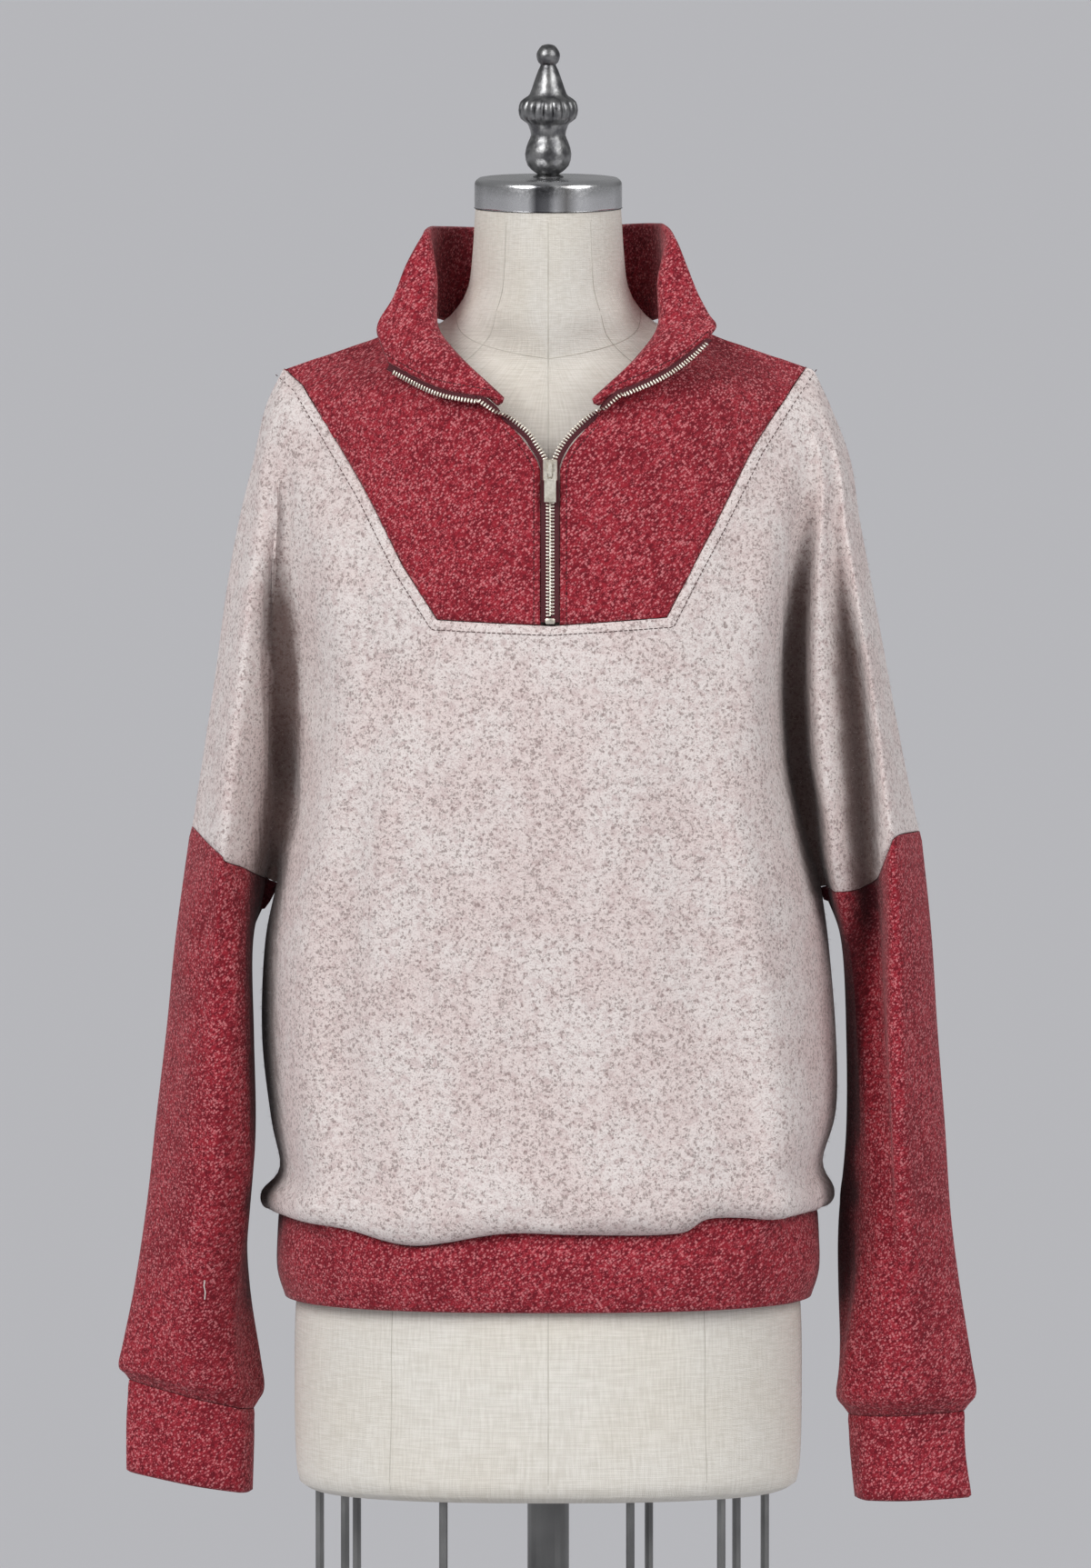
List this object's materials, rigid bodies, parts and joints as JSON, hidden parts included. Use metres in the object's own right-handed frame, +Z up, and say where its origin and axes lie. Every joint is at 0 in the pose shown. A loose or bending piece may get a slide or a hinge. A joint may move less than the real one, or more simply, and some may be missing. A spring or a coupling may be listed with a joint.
{
  "type": "half zip sweatshirt on a dress form",
  "caption": "Knitted half zip sweatshirt with a contrast yoke, sleeves and bands, displayed on a limbless linen dress form with pole, wire skirt cage and round floor base.",
  "frame": {"origin": "centre of the base's flat underside, on the pole's axis", "axes": "+Z up along the pole; the garment's front faces -Y; +X to the viewer's right"},
  "size_m": [0.567, 0.4, 1.755],
  "materials": {
    "cream_jersey": "fuzzy brushed jersey with dark flecks",
    "red_jersey": "jersey with pale flecks",
    "zip_tape": "woven tape",
    "zip_metal": "polished zip metal",
    "linen": "plain linen weave",
    "chrome": "polished",
    "pewter": "hammered cast metal",
    "steel": "satin"
  },
  "bodies": {
    "root": {"back_panel": "cream_jersey", "base": "steel", "cage_ring": "steel", "cage_rod_1": "steel", "cage_rod_2": "steel", "cage_rod_3": "steel", "cage_rod_4": "steel", "cage_rod_5": "steel", "cage_rod_6": "steel", "cage_rod_7": "steel", "cage_rod_8": "steel", "cage_rod_9": "steel", "collar": "red_jersey", "cuff_left": "red_jersey", "cuff_right": "red_jersey", "finial": "pewter", "form_torso": "linen", "front_panel": "cream_jersey", "hem_band": "red_jersey", "lower_sleeve_left": "red_jersey", "lower_sleeve_right": "red_jersey", "neck_cap": "chrome", "pole": "steel", "yoke_left": "red_jersey", "yoke_right": "red_jersey", "zip_slider": "zip_metal", "zip_tape_left": "zip_tape", "zip_tape_right": "zip_tape"},
    "pull_tab": {"zip_pull": "zip_metal"}
  },
  "joints": [
    {"name": "pull_tab_hinge", "type": "hinge", "parent": "root", "child": "pull_tab", "pos_m": [0.0012, -0.11088, 1.48009], "axis": [-1, 0, 0], "range_deg": [0, 135]}
  ]
}
